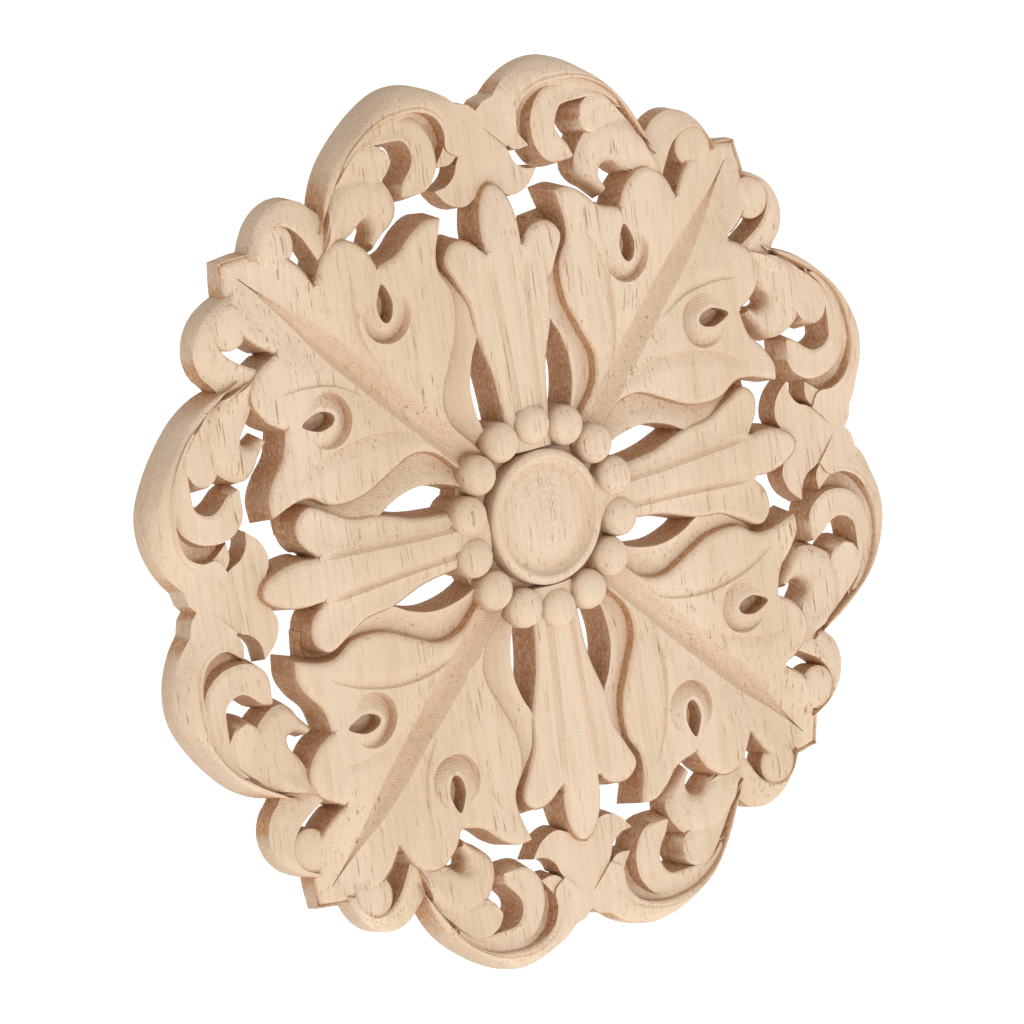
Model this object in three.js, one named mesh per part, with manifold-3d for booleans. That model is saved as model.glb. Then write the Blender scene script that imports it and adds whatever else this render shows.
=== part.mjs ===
// A round carved wood applique for a wall, a door or a piece of furniture.
// One piece of pale wood: four pointed leaves on the diagonals, four fluted tongues between them,
// a pierced border of scrolls, and a domed button in a ring of beads at the centre.
// It stands upright: X is across, Z is up, the flat back lies at Y = 0 and the carving faces -Y.
// The origin is the middle of the back, where it is fixed to a wall or a panel.
import * as THREE from 'three';
import { mergeVertices } from 'three/addons/utils/BufferGeometryUtils.js';
import Module from 'manifold-3d';

const wasm = await Module();
wasm.setup();

// Driving dimensions, in millimetres.
const DIAMETER = 150;          // circle the piece is drawn in: the leaf points just touch it
const LEAF_THICKNESS = 6.0;    // back to the flat of a leaf
const TONGUE_THICKNESS = 6.5;  // back to the middle lobe of a tongue
const SCROLL_THICKNESS = 6.3;  // back to the highest ridge of a scroll
const CURL_THICKNESS = 4.9;    // back to the inner ridge of a small curl
const RIM_THICKNESS = 3.6;     // height of the upright outer edge of the scrolls
const RECESS_FLOOR = 2.2;      // floor of the slot between a scroll's lobe and its foot
const FAN_THICKNESS = 5.7;     // back to the smooth root of a scroll, at its middle
const FAN_FALL = 1.6;          // how far that root dips below the bands that grow out of it
const BULB_THICKNESS = 4.8;    // back to the crown of the bulb inside a small curl
const STRAP_LOW = 3.6;         // back to the cove where a strap meets its leaf
const BASE_THICKNESS = 4.2;    // floor under the beads
const BUTTON_DIAMETER = 22.2;  // outside of the raised ring
const BUTTON_THICKNESS = 7.8;  // back to the crest of the ring
const BUTTON_WALL = 2.4;       // width of the ring's crest and slopes
const BUTTON_SLOPE = 0.9;      // fall of the ring's outer slope
const BUTTON_GROOVE = 1.6;     // depth of the groove inside the ring
const BEAD_DIAMETER = 6.8;
const BEAD_TOP = 8.5;          // back to the top of a bead
const BEAD_COUNT = 14;
const BEAD_SIDES = 7;
const BEAD_CLEARANCE = 0.75;   // gap between the button's ring and the beads at their widest
const RIB_HALF_WIDTH = 2.6;    // of the trough down a leaf, at its wide end
const RIB_DEPTH = 2.8;
const LEAF_VALLEY = 1.3;       // fall of the leaf's halves towards the trough
const TIP_DROOP = 2.0;         // further fall of the leaf at its point
const TONGUE_DROOP = 2.0;      // fall of a tongue's middle lobe at its tip
const EYE_DEPTH = 3.6;         // pit in the middle of each eye
const EYE_GROOVE_DEPTH = 1.7;  // groove round the eye's collar
const CREASE_DEPTH = 0.7;      // between the three lobes of a tongue
const CREASE_HALF_WIDTH = 1.0;
const CUT_CLEAR = 3;           // how far a cutter stands above what it cuts
const DRAFT = 0.7;             // how far a wall leans out from its top to the back
const BAND_SAMPLES = 48;       // places along a curve where a joint may fall
const FACET_ERROR = 0.45;      // how far a straight facet may cut inside a curved outline
const LONGEST_MITRE = 1.6;     // limit on how far a sharp corner moves per unit of wall offset
const BLANK = 1;               // waste under the back, planed off at the end
const SLIVER = 0.02;           // keeps a cutter's rim clear of the face that it cuts

const RADIUS = DIAMETER / 2;
const SHARE = RADIUS / 100;    // the carved outlines are drawn in hundredths of the radius
const CEILING = Math.max(BEAD_TOP, BUTTON_THICKNESS, TONGUE_THICKNESS, LEAF_THICKNESS) + CUT_CLEAR;
const BEAD_RING = BUTTON_DIAMETER / 2 + BEAD_CLEARANCE + BEAD_DIAMETER / 2;
const HUB_RADIUS = BEAD_RING + BEAD_DIAMETER / 4;
const HUB_SIDES = 18;
const PIT_SIDES = 6;
const BULB_SIDES = 7;

const WOOD = new THREE.MeshStandardMaterial({ color: 0xe6cdb0, roughness: 0.8, metalness: 0 });

// Outlines are drawn in one eighth of the rosette: x runs out along a tongue, y towards the leaf.
// Each row is a smooth stretch through its points, and rows meet in corners.
const LEAF_EDGE = [
  [[14, 11], [19, 14.5], [25, 19.6], [31, 20.6], [38, 17.8], [45, 14.9], [53, 14.7], [58, 17.4],
    [62, 17.4], [68.7, 15.4]],
  [[68.7, 15.4], [68.9, 19], [66.8, 23], [63.3, 27], [61.6, 32.7]],
  [[61.6, 32.7], [66, 35.4], [68.9, 40.5], [67, 45.2], [61.1, 48.9]],
  [[61.1, 48.9], [66, 52.2], [68.4, 55.2], [69.4, 59.5], [69.8, 63.5], [69.2, 69.2]],
];
const TONGUE_EDGE = [
  [[15, 5.6], [24, 6.1], [33, 7.2], [42, 10], [49, 10.9], [54, 13.3], [59.5, 15.6], [62.6, 13],
    [62.4, 9], [59, 4.8]],
  [[59, 4.8], [65, 4.8], [70, 3.4], [72.6, 1.5], [73.2, 0]],
];
const STRAP_INNER = [[16, 8.5], [21, 11.6], [26, 13.2], [32, 13.6], [38, 12], [42, 10], [49, 9.6],
  [57, 11.5], [65.5, 11]];
const STRAP_OUTER = [[14, 15.5], [22, 20.5], [31, 25], [45, 20], [58, 19.5], [66.5, 19]];

// The border. Each band of a scroll lies between two curves, drawn from its root to its end.
const HOOK_INNER = [[66.6, 45], [69.9, 37], [72, 34.2], [72.4, 32.4], [71.9, 31], [70.4, 30.2],
  [68.6, 30], [66.6, 31]];
const HOOK_OUTER = [[77.5, 43.5], [80.4, 37], [80.6, 32], [79.1, 28.3], [76.4, 26], [73.6, 24.9],
  [71.6, 25], [69.7, 26.4], [68.4, 28.4], [66.3, 30.8]];
const MIDDLE_INNER = [[78, 40.6], [78.8, 38], [79.6, 34], [79.2, 29], [80.5, 26.6], [82.5, 25.5]];
const MIDDLE_OUTER = [[83.2, 39], [86, 35.4], [87.2, 32], [86.2, 28], [85.1, 26.4], [83.3, 25.6]];
const TONGUELET_INNER = [[82.6, 38.4], [85.6, 34.4], [87, 30], [87.1, 26.6], [87.1, 23.8], [86.7, 21.2],
  [84.6, 19.4], [81.9, 18.9], [79.5, 20], [77.3, 21.8], [75.1, 22.7]];
const TONGUELET_OUTER = [[85.4, 38], [88.6, 33.6], [90.9, 28.5], [92, 24.8], [91.9, 20.9], [90.6, 17.8],
  [88.2, 15.7], [85.7, 14.2], [83.1, 13.5], [79.8, 13.5], [77.5, 14.5], [75.6, 16.2], [74.9, 18.2],
  [74.8, 20.5], [74.9, 22.5]];
const BAND_INNER = [[71, 45.4], [81, 39.6], [87.4, 34.2], [90.8, 28.4], [92, 22], [91.7, 16], [89.6, 11.5],
  [86, 9.4], [82.4, 9.2], [80.4, 6.4]];
const RIM = [[75.6, 44.4], [79.9, 42.2], [84.6, 38.9], [89.6, 33.8], [93.4, 28.5], [96.1, 22.9],
  [96.7, 18.2], [95.8, 13], [93.4, 8], [90.3, 4.2], [86.8, 0]];
const FOOT_EDGE = [
  [[92, 9], [89.4, 9.4], [86, 8.7], [82.6, 9.6], [79.4, 11.9]],
  [[79.4, 11.9], [79.2, 9.3], [80.6, 6.2]],
  [[80.6, 6.2], [76.1, 7.9], [74, 10.9], [73.8, 13.2]],
  [[73.8, 13.2], [70.9, 10.4], [69.7, 6.6], [71.2, 3.3], [73.6, -1]],
  [[73.6, -1], [87, -1], [90.2, 2]],
];
const CURL_INNER = [[64.5, 45.6], [69.2, 48.1], [71.6, 49.6], [73.6, 51.6], [74.8, 53.8], [75, 57],
  [73, 60], [69.3, 62]];
const CURL_OUTER = [[73.6, 42], [75.7, 45.1], [78, 47.7], [79.1, 51.5], [78.2, 55.6], [75.8, 58.9],
  [72.8, 60.9], [69.2, 62.4]];
const BULB = { x: 70.8, y: 56.5, radius: 4.95 };
const FAN_POINTS = 5;  // how many points of the rim the smooth root of a scroll reaches along
const FAN_INSET = 0.6; // keeps the root inside the walls of the bands that grow out of it

// An eye is a drop-shaped pit in a round collar, with a groove beyond it on the side of the trough.
const EYE = { x: 53.8, y: 32.8, length: 4.2, width: 2.1 };
const COLLAR = { x: 52.6, y: 32.7, radius: 4.4 };
const EYE_GROOVE = { x: 50.5, y: 32.4, radius: 5.9 };

const at = ([x, y]) => new THREE.Vector3(x * SHARE, y * SHARE, 0);

function curve(points) {
  return new THREE.CatmullRomCurve3(points.map(at), false, 'centripetal');
}

// The fewest of these points that stay within a tolerance of them all.
function thinned(points, tolerance) {
  const first = points[0];
  const last = points[points.length - 1];
  const chord = new THREE.Line3(first, last);
  const foot = new THREE.Vector3();
  let worst = 0;
  let split = 0;
  for (let i = 1; i < points.length - 1; i += 1) {
    const away = chord.closestPointToPoint(points[i], true, foot).distanceTo(points[i]);
    if (away > worst) {
      worst = away;
      split = i;
    }
  }
  if (worst <= tolerance) return [first, last];
  const near = thinned(points.slice(0, split + 1), tolerance);
  return [...near.slice(0, -1), ...thinned(points.slice(split), tolerance)];
}

// Points along rows of smooth stretches, with the corners kept.
function edge(rows) {
  const out = [];
  for (const row of rows) {
    const points = thinned(curve(row).getSpacedPoints(BAND_SAMPLES), FACET_ERROR);
    if (out.length) points.shift();
    out.push(...points);
  }
  return out;
}

function solid(geometry) {
  const bare = geometry.index ? geometry.toNonIndexed() : geometry;
  bare.deleteAttribute('normal');
  bare.deleteAttribute('uv');
  const merged = mergeVertices(bare, 1e-4);
  const vertProperties = new Float32Array(merged.attributes.position.array);
  const triVerts = new Uint32Array(merged.index.array);
  const body = new wasm.Manifold(new wasm.Mesh({ numProp: 3, vertProperties, triVerts }));
  if (body.volume() > 0) return body;
  for (let i = 0; i < triVerts.length; i += 3) {
    [triVerts[i], triVerts[i + 1]] = [triVerts[i + 1], triVerts[i]];
  }
  return new wasm.Manifold(new wasm.Mesh({ numProp: 3, vertProperties, triVerts }));
}

// For each point of a closed outline, the step outward that moves every edge outward by one.
function mitres(points) {
  const turn = THREE.ShapeUtils.area(points) > 0 ? 1 : -1;
  const normals = points.map((p, i) => {
    const along = new THREE.Vector3().subVectors(points[(i + 1) % points.length], p).normalize();
    return new THREE.Vector3(along.y * turn, -along.x * turn, 0);
  });
  return points.map((p, i) => {
    const before = normals[(i + points.length - 1) % points.length];
    const step = new THREE.Vector3().addVectors(before, normals[i]);
    return step.divideScalar(1 + before.dot(normals[i])).clampLength(0, LONGEST_MITRE);
  });
}

// A point of an outline drawn at the leaf's top, at another height on its leaning wall.
function onWall(point, mitre, height) {
  return point.clone().addScaledVector(mitre, DRAFT * (1 - height / LEAF_THICKNESS));
}

function prism(points, low, high, leaning = true) {
  const steps = mitres(points);
  const shape = new THREE.Shape(points.map((p) => new THREE.Vector2(p.x, p.y)));
  const geometry = new THREE.ExtrudeGeometry(shape, { depth: high - low, bevelEnabled: false });
  geometry.translate(0, 0, low);
  const index = new Map(points.map((p, i) => [`${Math.fround(p.x)},${Math.fround(p.y)}`, i]));
  const position = geometry.attributes.position;
  for (let i = 0; leaning && i < position.count; i += 1) {
    const k = index.get(`${position.getX(i)},${position.getY(i)}`);
    const p = onWall(points[k], steps[k], position.getZ(i));
    position.setXY(i, p.x, p.y);
  }
  return solid(geometry);
}

// A block whose plan, underside and top follow functions of u (along) and v (across).
function block(along, across, plan, low, high) {
  const geometry = new THREE.BoxGeometry(1, 1, 1, along, across, 1);
  const position = geometry.attributes.position;
  for (let i = 0; i < position.count; i += 1) {
    const u = position.getX(i) + 0.5;
    const v = position.getY(i) + 0.5;
    const upper = position.getZ(i) > 0;
    const p = plan(u, v, upper);
    position.setXYZ(i, p.x, p.y, upper ? high(u, v) : low(u, v));
  }
  return solid(geometry);
}

const flat = (height) => () => height;
const mix = THREE.MathUtils.lerp;
const smooth = (x, a, b) => THREE.MathUtils.smoothstep(x, a, b);

// Where a band between two curves needs a joint so that its facets stay near both.
function stations(a, b, error, from = 0, to = BAND_SAMPLES) {
  const chords = [a, b].map((line) => new THREE.Line3(line[from], line[to]));
  const foot = new THREE.Vector3();
  let worst = 0;
  let split = from;
  for (let i = from + 1; i < to; i += 1) {
    for (const [k, line] of [a, b].entries()) {
      const away = chords[k].closestPointToPoint(line[i], true, foot).distanceTo(line[i]);
      if (away > worst) {
        worst = away;
        split = i;
      }
    }
  }
  if (worst <= error) return [from, to];
  return [...stations(a, b, error, from, split).slice(0, -1), ...stations(a, b, error, split, to)];
}

// A band between two drawn curves, from the back up to a modelled top.
function band(inner, outer, top, error = FACET_ERROR, across = 1) {
  const sides = [inner, outer].map((points) => curve(points).getSpacedPoints(BAND_SAMPLES));
  const joints = stations(sides[0], sides[1], error);
  const along = joints.length - 1;
  const lines = sides.map((points) => joints.map((k) => points[k]));
  const steps = mitres([...lines[0], ...lines[1].slice().reverse()]);
  const stepAt = (i, v) => (v ? steps[2 * along + 1 - i] : steps[i]);
  const high = (share, v) => top(joints[Math.round(share * along)] / BAND_SAMPLES, v);
  const plan = (share, v, upper) => {
    const i = Math.round(share * along);
    const height = (side) => (upper ? high(share, side) : -BLANK);
    const ends = [0, 1].map((side) => onWall(lines[side][i], stepAt(i, side), height(side)));
    return ends[0].lerp(ends[1], v);
  };
  return block(along, across, plan, flat(-BLANK), high);
}

// A cutter for a groove along a line, whose half-width and depth change along it.
function groove(line, along, across, width, surface, depth) {
  const plan = (u, v) => {
    const p = line.getPointAt(u);
    const t = line.getTangentAt(u);
    const offset = (v - 0.5) * 2 * width(u);
    return new THREE.Vector3(p.x - t.y * offset, p.y + t.x * offset, 0);
  };
  const low = (u, v) => surface(u, v) - depth(u) * (1 - (2 * v - 1) ** 2);
  return block(along, across, plan, low, flat(CEILING));
}

function union(bodies) {
  return bodies.reduce((sum, body) => sum.add(body));
}

function mirrorDiagonal(points) {
  return points.map((p) => new THREE.Vector3(p.y, p.x, 0)).reverse();
}

function mirrorCardinal(points) {
  return points.map((p) => new THREE.Vector3(p.x, -p.y, 0)).reverse();
}

const VALLEY_START = 24 * SHARE;
const VALLEY_END = 104 * SHARE;
const VALLEY_HALF = 11 * SHARE;
const VALLEY_SPREAD = 1.3;     // how much wider the cutter is than the valley that it leaves

// Height of the leaf near its trough, by distance along the diagonal and away from it.
function leafTop(along, aside) {
  const share = along / RADIUS;
  const fall = LEAF_VALLEY * smooth(share, 0.2, 0.6) * (1 - smooth(Math.abs(aside) / VALLEY_HALF, 0, 1));
  return LEAF_THICKNESS - fall - TIP_DROOP * smooth(share, 0.72, 1.02);
}

function diagonal(distance, aside) {
  return new THREE.Vector3((distance - aside) / Math.SQRT2, (distance + aside) / Math.SQRT2, 0);
}

function leaf() {
  const half = edge(LEAF_EDGE);
  const body = prism([...half, ...mirrorDiagonal(half).slice(1)], -BLANK, LEAF_THICKNESS);
  const span = (u) => mix(VALLEY_START, VALLEY_END, u);
  const valley = block(2, 2,
    (u, v) => diagonal(span(u), (v - 0.5) * 2 * VALLEY_HALF * VALLEY_SPREAD),
    (u, v) => leafTop(span(u), (v - 0.5) * 2 * VALLEY_HALF * VALLEY_SPREAD), flat(CEILING));
  return body.subtract(valley);
}

// The trough down the middle of a leaf, which narrows to its point.
function leafTrough() {
  const start = 19 * SHARE;
  const end = 93 * SHARE;
  const line = new THREE.LineCurve3(diagonal(start, 0), diagonal(end, 0));
  const taper = (u) => Math.max(0.06, 1 - smooth(u, 0.35, 1.02));
  return groove(line, 3, 2, (u) => RIB_HALF_WIDTH * taper(u),
    (u) => leafTop(mix(start, end, u), 0) + SLIVER, (u) => RIB_DEPTH * mix(0.15, 1, taper(u)));
}

function eyeCuts() {
  const pitPoints = [];
  for (let i = 0; i < PIT_SIDES; i += 1) {
    const a = (i / PIT_SIDES) * 2 * Math.PI;
    const pinch = Math.sin(a) * (1 - 0.45 * Math.max(0, Math.cos(a)));
    pitPoints.push(at([EYE.x + EYE.length * Math.cos(a), EYE.y + EYE.width * pinch]));
  }
  const pit = prism(pitPoints, LEAF_THICKNESS - EYE_DEPTH, CEILING, false);
  const turn = (u) => mix(0.25, 1.75, u) * Math.PI;
  const fade = (u) => Math.sin(Math.PI * Math.min(1, Math.max(0, u))) ** 0.6;
  const round = (circle, a) => at([circle.x + circle.radius * Math.cos(a),
    circle.y + circle.radius * Math.sin(a)]);
  const ring = block(5, 1,
    (u, v) => round(EYE_GROOVE, turn(u)).lerp(round(COLLAR, turn(u)), v),
    (u, v) => LEAF_THICKNESS - EYE_GROOVE_DEPTH * fade(u) * (1 - v),
    flat(CEILING));
  return [pit, ring];
}

function tongue() {
  const half = edge(TONGUE_EDGE);
  const outline = [...half, ...mirrorCardinal(half).slice(1)].reverse();
  const body = prism(outline, -BLANK, TONGUE_THICKNESS);
  const from = 57 * SHARE;
  const to = 76 * SHARE;
  const droop = block(3, 1, (u, v) => new THREE.Vector3(mix(from, to, u), (v - 0.5) * 34 * SHARE, 0),
    (u) => TONGUE_THICKNESS - TONGUE_DROOP * u ** 1.6, flat(CEILING));
  return body.subtract(droop);
}

// The crease between a tongue's middle lobe and the lobe beside it.
function tongueCrease() {
  const line = curve([[21, 3], [34, 3.4], [48, 4.2], [58.5, 4.9]]);
  return groove(line, 1, 2, flat(CREASE_HALF_WIDTH), flat(TONGUE_THICKNESS + SLIVER), flat(CREASE_DEPTH));
}

function strap() {
  return band(STRAP_INNER, STRAP_OUTER,
    (u, v) => mix(LEAF_THICKNESS, STRAP_LOW, v * 1.5), FACET_ERROR * 1.4);
}

// Floor of the slot between a scroll's lobe, its outer band and its foot.
const WEB = { x: 86.6, y: 13.8, length: 13, width: 9.8 };

function bigScroll() {
  const high = SCROLL_THICKNESS;
  const hook = band(HOOK_INNER, HOOK_OUTER,
    (u, v) => high * (mix(0.72, 0.52, smooth(u, 0.45, 1)) + 0.1 * v * (1 - u)));
  const middle = band(MIDDLE_INNER, MIDDLE_OUTER,
    (u, v) => high * (mix(0.66, 0.86, u) + 0.06 * v), FACET_ERROR * 2);
  const tonguelet = band(TONGUELET_INNER, TONGUELET_OUTER,
    (u, v) => high * (mix(0.72, 0.86, smooth(u, 0, 0.35)) - 0.1 * smooth(u, 0.6, 1)
      - 0.22 * v * smooth(u, 0.1, 0.5) * (1 - smooth(u, 0.6, 0.8))));
  const ridge = (u) => high * (mix(0.8, 1, smooth(u, 0.1, 0.45)) - 0.24 * smooth(u, 0.6, 0.95));
  const outer = band(BAND_INNER, RIM,
    (u, v) => mix(ridge(u), RIM_THICKNESS * mix(1.1, 0.86, smooth(u, 0.6, 1)), v));
  const foot = prism(edge(FOOT_EDGE), -BLANK, RIM_THICKNESS * 1.1);
  const web = new THREE.BoxGeometry(WEB.length * SHARE, WEB.width * SHARE, RECESS_FLOOR + BLANK);
  web.translate(WEB.x * SHARE, WEB.y * SHARE, (RECESS_FLOOR - BLANK) / 2);

  // The smooth root that all the bands grow out of: a low side, a crown and the fall to the rim.
  const rootEdge = RIM.slice(0, FAN_POINTS).map(([x, y]) => [x - FAN_INSET, y - FAN_INSET]);
  const crown = (v) => (v < 0.5 ? mix(high * 0.78, FAN_THICKNESS, v * 2)
    : mix(FAN_THICKNESS, RIM_THICKNESS, v * 2 - 1));
  const fan = band(HOOK_INNER.slice(0, 3), rootEdge, (u, v) => crown(v) - FAN_FALL * u ** 2,
    FACET_ERROR * 4, 2);
  return [hook, middle, tonguelet, outer, foot, solid(web), fan];
}

// A small curl winds round to a domed bulb.
function curl() {
  const ring = band(CURL_INNER, CURL_OUTER, (u, v) => mix(CURL_THICKNESS, RIM_THICKNESS, v));
  const r = BULB.radius * SHARE;
  const profile = [[0, -BLANK], [r, -BLANK], [r, BULB_THICKNESS * 0.84], [0, BULB_THICKNESS]];
  const bulb = new THREE.LatheGeometry(profile.map(([x, z]) => new THREE.Vector2(x, z)), BULB_SIDES);
  bulb.rotateX(Math.PI / 2);
  bulb.translate(BULB.x * SHARE, BULB.y * SHARE, 0);
  return [ring, solid(bulb)];
}

// One eighth is turned into eight by exact swaps of its coordinates, so the copies meet exactly.
const SWAP = [0, 1, 0, 0, 1, 0, 0, 0, 0, 0, 1, 0, 0, 0, 0, 1];
const FLIP = [1, 0, 0, 0, 0, -1, 0, 0, 0, 0, 1, 0, 0, 0, 0, 1];
const TURN = [0, 1, 0, 0, -1, 0, 0, 0, 0, 0, 1, 0, 0, 0, 0, 1];

function fourTurns(body) {
  const copies = [body];
  for (let i = 1; i < 4; i += 1) copies.push(copies[i - 1].transform(TURN));
  return union(copies);
}

function hub() {
  const floor = new THREE.CylinderGeometry(HUB_RADIUS, HUB_RADIUS, BASE_THICKNESS + BLANK, HUB_SIDES);
  floor.rotateX(Math.PI / 2);
  floor.translate(0, 0, (BASE_THICKNESS - BLANK) / 2);
  const r = BUTTON_DIAMETER / 2;
  const profile = [
    [0, -BLANK], [r, -BLANK], [r, BUTTON_THICKNESS - BUTTON_SLOPE],
    [r - BUTTON_WALL * 0.45, BUTTON_THICKNESS],
    [r - BUTTON_WALL, BUTTON_THICKNESS - BUTTON_GROOVE], [0, BUTTON_THICKNESS - BUTTON_GROOVE * 0.35],
  ];
  const button = new THREE.LatheGeometry(profile.map(([x, z]) => new THREE.Vector2(x, z)), HUB_SIDES);
  button.rotateX(Math.PI / 2);
  const ball = BEAD_DIAMETER / 2;
  const dome = [[0, -1.6], [1, -1.6], [1, -0.9], [0.72, -0.28], [0, 0]];
  const beads = [];
  for (let i = 0; i < BEAD_COUNT; i += 1) {
    const a = ((i + 0.5) / BEAD_COUNT) * 2 * Math.PI;
    const section = dome.map(([x, z]) => new THREE.Vector2(x, z).multiplyScalar(ball));
    const bead = new THREE.LatheGeometry(section, BEAD_SIDES);
    bead.rotateX(Math.PI / 2);
    bead.translate(BEAD_RING * Math.cos(a), BEAD_RING * Math.sin(a), BEAD_TOP);
    beads.push(solid(bead));
  }
  return union([solid(floor), solid(button), ...beads]);
}

function rosette() {
  const eye = union(eyeCuts());
  const leafBody = leaf().subtract(union([leafTrough(), eye, eye.transform(SWAP)]));
  const crease = tongueCrease();
  const tongueBody = tongue().subtract(union([crease, crease.transform(FLIP)]));
  const scroll = union([strap(), ...bigScroll(), ...curl()]);
  const quarter = union([leafBody, tongueBody, scroll, scroll.transform(SWAP)]);
  const waste = new THREE.BoxGeometry(DIAMETER * 1.1, DIAMETER * 1.1, BLANK * 2);
  waste.translate(0, 0, -BLANK);
  return union([fourTurns(quarter), hub()]).subtract(solid(waste));
}

function meshOf(body) {
  const { vertProperties, triVerts, numProp } = body.getMesh();
  const positions = new Float32Array((vertProperties.length / numProp) * 3);
  for (let i = 0; i < positions.length / 3; i += 1) {
    for (let k = 0; k < 3; k += 1) positions[i * 3 + k] = vertProperties[i * numProp + k];
  }
  const geometry = new THREE.BufferGeometry();
  geometry.setAttribute('position', new THREE.BufferAttribute(positions, 3));
  geometry.setIndex(new THREE.BufferAttribute(new Uint32Array(triVerts), 1));
  geometry.rotateX(Math.PI / 2);
  geometry.computeVertexNormals();
  return geometry;
}

const group = new THREE.Group();
const piece = new THREE.Mesh(meshOf(rosette()), WOOD);
piece.name = 'rosette';
group.add(piece);

export default group;
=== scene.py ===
import math

import bmesh
import bpy
import numpy as np
from mathutils import Matrix


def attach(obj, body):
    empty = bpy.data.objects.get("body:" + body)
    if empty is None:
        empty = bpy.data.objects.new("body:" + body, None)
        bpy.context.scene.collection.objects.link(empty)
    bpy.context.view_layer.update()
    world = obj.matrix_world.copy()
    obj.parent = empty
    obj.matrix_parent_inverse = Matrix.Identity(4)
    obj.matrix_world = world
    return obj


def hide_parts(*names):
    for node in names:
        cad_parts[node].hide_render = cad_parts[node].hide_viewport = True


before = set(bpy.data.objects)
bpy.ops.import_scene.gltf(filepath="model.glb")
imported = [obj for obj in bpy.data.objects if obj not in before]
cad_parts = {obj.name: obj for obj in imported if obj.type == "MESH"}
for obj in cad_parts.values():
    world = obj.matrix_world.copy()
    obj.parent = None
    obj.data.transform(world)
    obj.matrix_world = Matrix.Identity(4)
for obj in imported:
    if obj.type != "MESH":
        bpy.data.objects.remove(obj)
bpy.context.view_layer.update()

# The rosette is carved here in millimetres on its drawing plane: x and y lie in the plane, z is the
# height above the flat back. At the end it is turned upright and scaled to metres.
RADIUS = 75.0
SHARE = RADIUS / 100

# Heights above the back, and how far each top falls or rises from its height.
LEAF = 6.0             # a leaf's face
LEAF_DIP = 1.3         # its fall towards the trough
LEAF_DROOP = 2.0       # its fall at the point
SIDE_TIP_LIFT = 0.7    # its rise at the tips beside the tongues
TONGUE = 6.5           # a tongue's face
TONGUE_CROWN = 0.25    # the rise of its middle lobe
TONGUE_HOLLOW = 0.45   # the dish of its side lobes
TONGUE_DROOP = 2.0     # its fall at the tip
SCROLL = 6.3           # the highest ridge of a scroll
FAN = 5.7              # the middle of a scroll's root
FAN_FALL = 1.6         # the root's fall where it meets the lobes
RIM_WALL = 3.6         # the outer wall of the border
CURL = 4.9             # the inner edge of a curl's ring
BULB_TOP = 4.8         # the bulb that the curl ends in
STRAP_LOW = 3.6        # a strap's outer side, beside its leaf
STRAP_END_FALL = 3.0   # its fall at the outer end
RECESS_FLOOR = 2.2     # the gutter inside a scroll's outer band
BASE = 4.2             # the floor that the beads stand on

# The button in the middle and the beads round it.
BUTTON_RADIUS = 11.1
BUTTON_TOP = 7.8
BUTTON_RING = 2.4      # width of the raised ring, groove included
BUTTON_GROOVE = 1.6    # depth of the groove inside the ring
RIPPLES = 7
RIPPLE = 0.05
BEAD_RADIUS = 3.4
BEAD_TOP = 8.5
BEAD_DOME = 2.9        # how much of a bead is its dome
BEADS = 14
BEAD_GAP = 0.75        # between the button and the beads
BEAD_RING = BUTTON_RADIUS + BEAD_GAP + BEAD_RADIUS

# Depths and half widths of the grooves.
TROUGH_HALF = 2.6
TROUGH_DEPTH = 2.5
CREASE_HALF = 0.7
CREASE_DEPTH = 0.7
PIT_DEPTH = 3.1
EYE_GROOVE_DEPTH = 1.9

# How far a wall leans outward from the leaf's height down to the back.
LEAN = 0.7
DEEP_LEAN = 1.3

# Blanks reach above every modelled top, cutters reach above the blanks, and what passes under the back is
# cut off at the end by a plate of this width.
BLANK = 8.0
SKY = 12.0
WASTE = 1.0
PLATE = 170.0
# A groove's cutter starts this far above its surface, so that its sides don't lie in it.
SKIN = 0.02
# Spacing of the points along outlines and bands.
STEP = 0.8

# Outlines in hundredths of the radius, for one eighth: x runs out along a tongue.
LEAF_EDGE = [
    [(14, 11), (19, 14.5), (25, 19.6), (31, 20.6), (38, 17.8), (45, 14.9), (53, 14.7), (58, 17.4),
     (62, 17.4), (68.7, 15.4)],
    [(68.7, 15.4), (68.9, 19), (66.8, 23), (63.3, 27), (61.6, 32.7)],
    [(61.6, 32.7), (66, 35.4), (68.9, 40.5), (67, 45.2), (61.1, 48.9)],
    [(61.1, 48.9), (66, 52.2), (68.4, 55.2), (69.4, 59.5), (69.8, 63.5), (69.2, 69.2)],
]
SIDE_TIP = LEAF_EDGE[0][-1]
TONGUE_EDGE = [
    [(15, 5.6), (24, 6.1), (33, 7.2), (42, 10), (49, 10.9), (54, 13.3), (59.5, 15.6), (62.6, 13),
     (62.4, 9), (59, 4.8)],
    [(59, 4.8), (65, 4.8), (70, 3.4), (72.6, 1.5), (73.2, 0)],
]
CREASE = [(21, 3), (34, 3.4), (48, 4.2), (58.5, 4.9)]
STRAP_INNER = [(16, 8.5), (21, 11.6), (26, 13.2), (32, 13.6), (38, 12), (42, 10), (49, 9.6), (57, 11.5),
               (63.2, 11.2)]
STRAP_OUTER = [(14, 15.5), (22, 20.5), (31, 25), (45, 20), (58, 19.5), (64, 18.8)]
HOOK_INNER = [(66.6, 45), (69.9, 37), (72, 34.2), (72.4, 32.4), (71.9, 31), (70.4, 30.2), (68.6, 30),
              (66.6, 31)]
HOOK_OUTER = [(75.6, 41.6), (79.6, 37), (80.6, 32), (79.1, 28.3), (76.4, 26), (73.6, 24.9), (71.6, 25),
              (69.7, 26.4), (68.4, 28.4), (66.3, 30.8)]
MIDDLE_INNER = [(78, 40.6), (78.8, 38), (79.6, 34), (79.2, 29), (80.5, 26.6), (82.5, 25.5)]
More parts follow.
